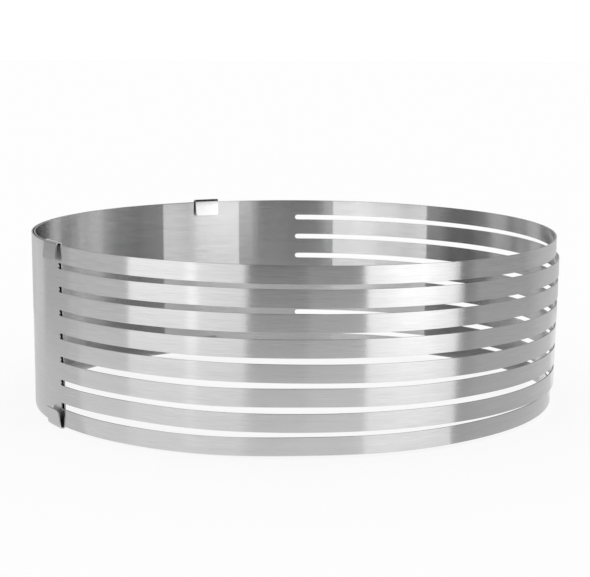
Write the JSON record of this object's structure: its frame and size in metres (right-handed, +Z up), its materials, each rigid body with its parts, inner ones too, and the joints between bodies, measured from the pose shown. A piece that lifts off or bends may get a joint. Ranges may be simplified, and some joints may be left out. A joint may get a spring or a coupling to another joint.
{
  "type": "adjustable cake slicing ring",
  "caption": "Adjustable cake slicing ring: a lapped strip of spring steel with long level knife slots, held by folded clips at its ends.",
  "frame": {"origin": "middle of the ring on the surface that it stands on, drawn in to its smallest size", "axes": "+Z up, +X to the right, -Y to the front; the lap and its clips are on the left, around -X"},
  "size_m": [0.24, 0.2394, 0.0813],
  "materials": {
    "band_steel": "satin, brushed along the strip",
    "clip_steel": "satin, a little brighter over the fold"
  },
  "bodies": {
    "inner_lap_1": {"inner_end_clip_bottom": "clip_steel", "inner_end_clip_top": "clip_steel", "inner_lap_1": "band_steel"},
    "inner_lap_2": {"inner_lap_2": "band_steel"},
    "inner_lap_3": {"inner_lap_3": "band_steel"},
    "inner_lap_4": {"inner_lap_4": "band_steel"},
    "inner_lap_5": {"inner_lap_5": "band_steel"},
    "inner_lap_6": {"inner_lap_6": "band_steel"},
    "inner_lap_7": {"inner_lap_7": "band_steel"},
    "rear_slot_end": {"rear_slot_end": "band_steel"},
    "slotted_arc_1": {"band_1_arc_1": "band_steel", "band_2_arc_1": "band_steel", "band_3_arc_1": "band_steel", "band_4_arc_1": "band_steel", "band_5_arc_1": "band_steel", "band_6_arc_1": "band_steel", "band_7_arc_1": "band_steel", "band_8_arc_1": "band_steel"},
    "slotted_arc_2": {"band_1_arc_2": "band_steel", "band_2_arc_2": "band_steel", "band_3_arc_2": "band_steel", "band_4_arc_2": "band_steel", "band_5_arc_2": "band_steel", "band_6_arc_2": "band_steel", "band_7_arc_2": "band_steel", "band_8_arc_2": "band_steel"},
    "slotted_arc_3": {"band_1_arc_3": "band_steel", "band_2_arc_3": "band_steel", "band_3_arc_3": "band_steel", "band_4_arc_3": "band_steel", "band_5_arc_3": "band_steel", "band_6_arc_3": "band_steel", "band_7_arc_3": "band_steel", "band_8_arc_3": "band_steel"},
    "slotted_arc_4": {"band_1_arc_4": "band_steel", "band_2_arc_4": "band_steel", "band_3_arc_4": "band_steel", "band_4_arc_4": "band_steel", "band_5_arc_4": "band_steel", "band_6_arc_4": "band_steel", "band_7_arc_4": "band_steel", "band_8_arc_4": "band_steel"},
    "slotted_arc_5": {"band_1_arc_5": "band_steel", "band_2_arc_5": "band_steel", "band_3_arc_5": "band_steel", "band_4_arc_5": "band_steel", "band_5_arc_5": "band_steel", "band_6_arc_5": "band_steel", "band_7_arc_5": "band_steel", "band_8_arc_5": "band_steel"},
    "front_slot_end": {"front_slot_end": "band_steel"},
    "outer_lap_1": {"outer_lap_1": "band_steel"},
    "outer_lap_2": {"outer_lap_2": "band_steel"},
    "outer_lap_3": {"outer_lap_3": "band_steel"},
    "outer_lap_4": {"outer_lap_4": "band_steel"},
    "outer_lap_5": {"outer_lap_5": "band_steel"},
    "outer_lap_6": {"outer_end_clip_bottom": "clip_steel", "outer_end_clip_top": "clip_steel", "outer_lap_6": "band_steel"}
  },
  "joints": [
    {"name": "inner_lap_1_flex", "type": "hinge", "parent": "inner_lap_2", "child": "inner_lap_1", "pos_m": [-0.11254, -0.03701, 0.04065], "axis": [0, 0, -1], "range_deg": [0, 2.91]},
    {"name": "inner_lap_2_flex", "type": "hinge", "parent": "inner_lap_3", "child": "inner_lap_2", "pos_m": [-0.11836, -0.00715, 0.04065], "axis": [0, 0, -1], "range_deg": [0, 2.91]},
    {"name": "inner_lap_3_flex", "type": "hinge", "parent": "inner_lap_4", "child": "inner_lap_3", "pos_m": [-0.1164, 0.02321, 0.04065], "axis": [0, 0, -1], "range_deg": [0, 2.9]},
    {"name": "inner_lap_4_flex", "type": "hinge", "parent": "inner_lap_5", "child": "inner_lap_4", "pos_m": [-0.10681, 0.05208, 0.04065], "axis": [0, 0, -1], "range_deg": [0, 2.9]},
    {"name": "inner_lap_5_flex", "type": "hinge", "parent": "inner_lap_6", "child": "inner_lap_5", "pos_m": [-0.0902, 0.07757, 0.04065], "axis": [0, 0, -1], "range_deg": [0, 2.9]},
    {"name": "inner_lap_6_flex", "type": "hinge", "parent": "inner_lap_7", "child": "inner_lap_6", "pos_m": [-0.06768, 0.09802, 0.04065], "axis": [0, 0, -1], "range_deg": [0, 2.9]},
    {"name": "inner_lap_7_flex", "type": "hinge", "parent": "rear_slot_end", "child": "inner_lap_7", "pos_m": [-0.0407, 0.11209, 0.04065], "axis": [0, 0, -1], "range_deg": [0, 4.54]},
    {"name": "rear_slot_end_flex", "type": "hinge", "parent": "slotted_arc_1", "child": "rear_slot_end", "pos_m": [0.0228, 0.11731, 0.04065], "axis": [0, 0, -1], "range_deg": [0, 7.48]},
    {"name": "slotted_arc_1_flex", "type": "hinge", "parent": "slotted_arc_2", "child": "slotted_arc_1", "pos_m": [0.09694, 0.07021, 0.04065], "axis": [0, 0, -1], "range_deg": [0, 8.75]},
    {"name": "slotted_arc_2_flex", "type": "hinge", "parent": "slotted_arc_3", "child": "slotted_arc_2", "pos_m": [0.11876, -0.01488, 0.04065], "axis": [0, 0, -1], "range_deg": [0, 8.73]},
    {"name": "ring_size", "type": "hinge", "parent": "slotted_arc_3", "child": "slotted_arc_4", "pos_m": [0.07647, -0.09189, 0.04065], "axis": [0, 0, 1], "range_deg": [0, 8.71]},
    {"name": "slotted_arc_5_flex", "type": "hinge", "parent": "slotted_arc_4", "child": "slotted_arc_5", "pos_m": [-0.00703, -0.11921, 0.04065], "axis": [0, 0, 1], "range_deg": [0, 8.68]},
    {"name": "front_slot_end_flex", "type": "hinge", "parent": "slotted_arc_5", "child": "front_slot_end", "pos_m": [-0.0867, -0.08217, 0.04065], "axis": [0, 0, 1], "range_deg": [0, 5.99]},
    {"name": "outer_lap_1_flex", "type": "hinge", "parent": "front_slot_end", "child": "outer_lap_1", "pos_m": [-0.10698, -0.05331, 0.04065], "axis": [0, 0, 1], "range_deg": [0, 3.22]},
    {"name": "outer_lap_2_flex", "type": "hinge", "parent": "outer_lap_1", "child": "outer_lap_2", "pos_m": [-0.11767, -0.0215, 0.04065], "axis": [0, 0, 1], "range_deg": [0, 3.14]},
    {"name": "outer_lap_3_flex", "type": "hinge", "parent": "outer_lap_2", "child": "outer_lap_3", "pos_m": [-0.11914, 0.01202, 0.04065], "axis": [0, 0, 1], "range_deg": [0, 3.14]},
    {"name": "outer_lap_4_flex", "type": "hinge", "parent": "outer_lap_3", "child": "outer_lap_4", "pos_m": [-0.11127, 0.04464, 0.04065], "axis": [0, 0, 1], "range_deg": [0, 3.13]},
    {"name": "outer_lap_5_flex", "type": "hinge", "parent": "outer_lap_4", "child": "outer_lap_5", "pos_m": [-0.09467, 0.07381, 0.04065], "axis": [0, 0, 1], "range_deg": [0, 3.13]},
    {"name": "outer_lap_6_flex", "type": "hinge", "parent": "outer_lap_5", "child": "outer_lap_6", "pos_m": [-0.07065, 0.09725, 0.04065], "axis": [0, 0, 1], "range_deg": [0, 3.13]}
  ],
  "couplings": [
    {"joint": "inner_lap_1_flex", "follows": "ring_size", "ratio": 0.334},
    {"joint": "inner_lap_2_flex", "follows": "ring_size", "ratio": 0.33369},
    {"joint": "inner_lap_3_flex", "follows": "ring_size", "ratio": 0.33338},
    {"joint": "inner_lap_4_flex", "follows": "ring_size", "ratio": 0.33307},
    {"joint": "inner_lap_5_flex", "follows": "ring_size", "ratio": 0.33276},
    {"joint": "inner_lap_6_flex", "follows": "ring_size", "ratio": 0.33245},
    {"joint": "inner_lap_7_flex", "follows": "ring_size", "ratio": 0.52195},
    {"joint": "rear_slot_end_flex", "follows": "ring_size", "ratio": 0.85931},
    {"joint": "slotted_arc_1_flex", "follows": "ring_size", "ratio": 1.0056},
    {"joint": "slotted_arc_2_flex", "follows": "ring_size", "ratio": 1.0028},
    {"joint": "slotted_arc_5_flex", "follows": "ring_size", "ratio": 0.99722},
    {"joint": "front_slot_end_flex", "follows": "ring_size", "ratio": 0.68762},
    {"joint": "outer_lap_1_flex", "follows": "ring_size", "ratio": 0.37021},
    {"joint": "outer_lap_2_flex", "follows": "ring_size", "ratio": 0.36047},
    {"joint": "outer_lap_3_flex", "follows": "ring_size", "ratio": 0.3601},
    {"joint": "outer_lap_4_flex", "follows": "ring_size", "ratio": 0.35973},
    {"joint": "outer_lap_5_flex", "follows": "ring_size", "ratio": 0.35938},
    {"joint": "outer_lap_6_flex", "follows": "ring_size", "ratio": 0.35901}
  ]
}
